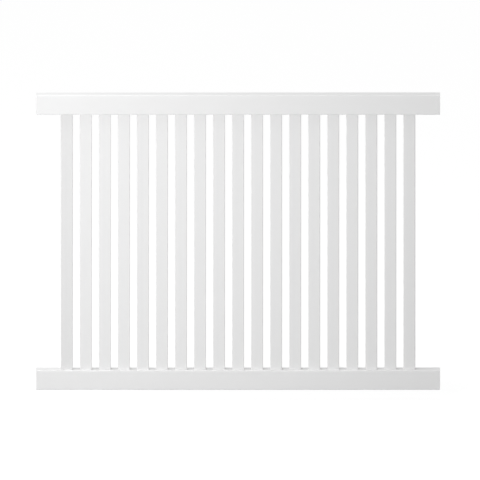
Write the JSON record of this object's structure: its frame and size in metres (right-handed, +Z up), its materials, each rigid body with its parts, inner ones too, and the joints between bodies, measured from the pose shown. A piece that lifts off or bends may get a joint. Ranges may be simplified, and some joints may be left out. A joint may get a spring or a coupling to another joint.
{
  "type": "vinyl pool fence panel",
  "caption": "Flat-topped open fence panel of hollow white vinyl pickets seated in routed holes of a hollow top rail and bottom rail.",
  "frame": {"origin": "on the underside of the bottom rail, halfway along it", "axes": "X along the rails, to the right in the picture; Y through the panel, away from the viewer; Z up"},
  "size_m": [1.77, 0.0508, 1.3462],
  "materials": {
    "white_vinyl": "extruded rigid PVC, white through and through, low gloss"
  },
  "bodies": {
    "root": {"top_rail": "white_vinyl", "bottom_rail": "white_vinyl", "picket_01": "white_vinyl", "picket_02": "white_vinyl", "picket_03": "white_vinyl", "picket_04": "white_vinyl", "picket_05": "white_vinyl", "picket_06": "white_vinyl", "picket_07": "white_vinyl", "picket_08": "white_vinyl", "picket_09": "white_vinyl", "picket_10": "white_vinyl", "picket_11": "white_vinyl", "picket_12": "white_vinyl", "picket_13": "white_vinyl", "picket_14": "white_vinyl", "picket_15": "white_vinyl", "picket_16": "white_vinyl", "picket_17": "white_vinyl", "picket_18": "white_vinyl", "picket_19": "white_vinyl"}
  },
  "joints": []
}
